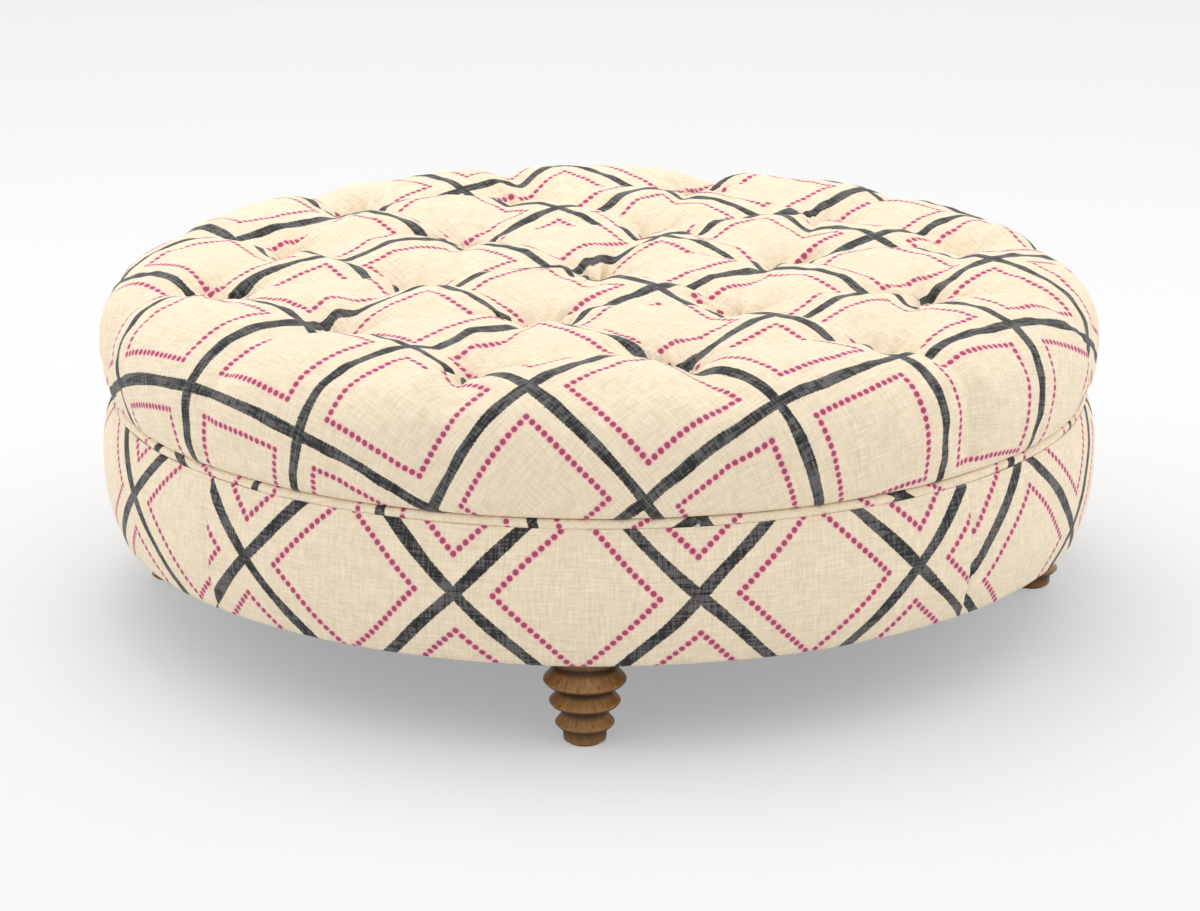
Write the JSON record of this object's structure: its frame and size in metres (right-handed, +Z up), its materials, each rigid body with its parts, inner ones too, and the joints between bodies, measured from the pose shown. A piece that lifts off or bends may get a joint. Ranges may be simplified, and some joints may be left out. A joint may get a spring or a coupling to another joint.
{
  "type": "round tufted tuffet",
  "caption": "Low round upholstered tuffet with a tufted cushion top, a corded edge, a bulging drum base and turned legs.",
  "frame": {"origin": "on the floor, under the middle of the seat", "axes": "+Z up; the four legs stand on +X, +Y, -X and -Y, and the pictured side faces -Y"},
  "size_m": [1.2176, 1.2176, 0.4184],
  "materials": {
    "printed_linen": "cream slub linen printed with charcoal bands and berry dots",
    "leg_wood": "satin medium-brown turned hardwood",
    "plywood": "raw birch plywood",
    "softwood": "planed pine",
    "hardboard": "bent hardboard",
    "wadding": "polyester wadding",
    "foam": "open-cell polyurethane foam",
    "dust_cloth": "black non-woven cloth",
    "twine": "waxed tufting twine",
    "zinc_steel": "zinc plated",
    "glide_nylon": "moulded nylon"
  },
  "bodies": {
    "root": {"legs": "leg_wood", "glides": "glide_nylon", "hanger_bolts": "zinc_steel", "tee_nuts": "zinc_steel", "foot_ring": "plywood", "head_ring": "plywood", "deck_board": "plywood", "wall_sheet": "hardboard", "frame_screws": "zinc_steel", "deck_screws": "zinc_steel", "base_padding": "wadding", "dust_cover": "dust_cloth", "edge_welt": "printed_linen", "seat_cover": "printed_linen", "seat_foam": "foam", "tuft_twines": "twine", "tuft_washers": "glide_nylon", "leg_pad_right": "plywood", "base_panel_right": "printed_linen", "leg_pad_back": "plywood", "base_panel_back": "printed_linen", "leg_pad_left": "plywood", "base_panel_left": "printed_linen", "leg_pad_front": "plywood", "base_panel_front": "printed_linen", "post_1": "softwood", "post_2": "softwood", "post_3": "softwood", "post_4": "softwood", "post_5": "softwood", "post_6": "softwood", "post_7": "softwood", "post_8": "softwood"}
  },
  "joints": []
}
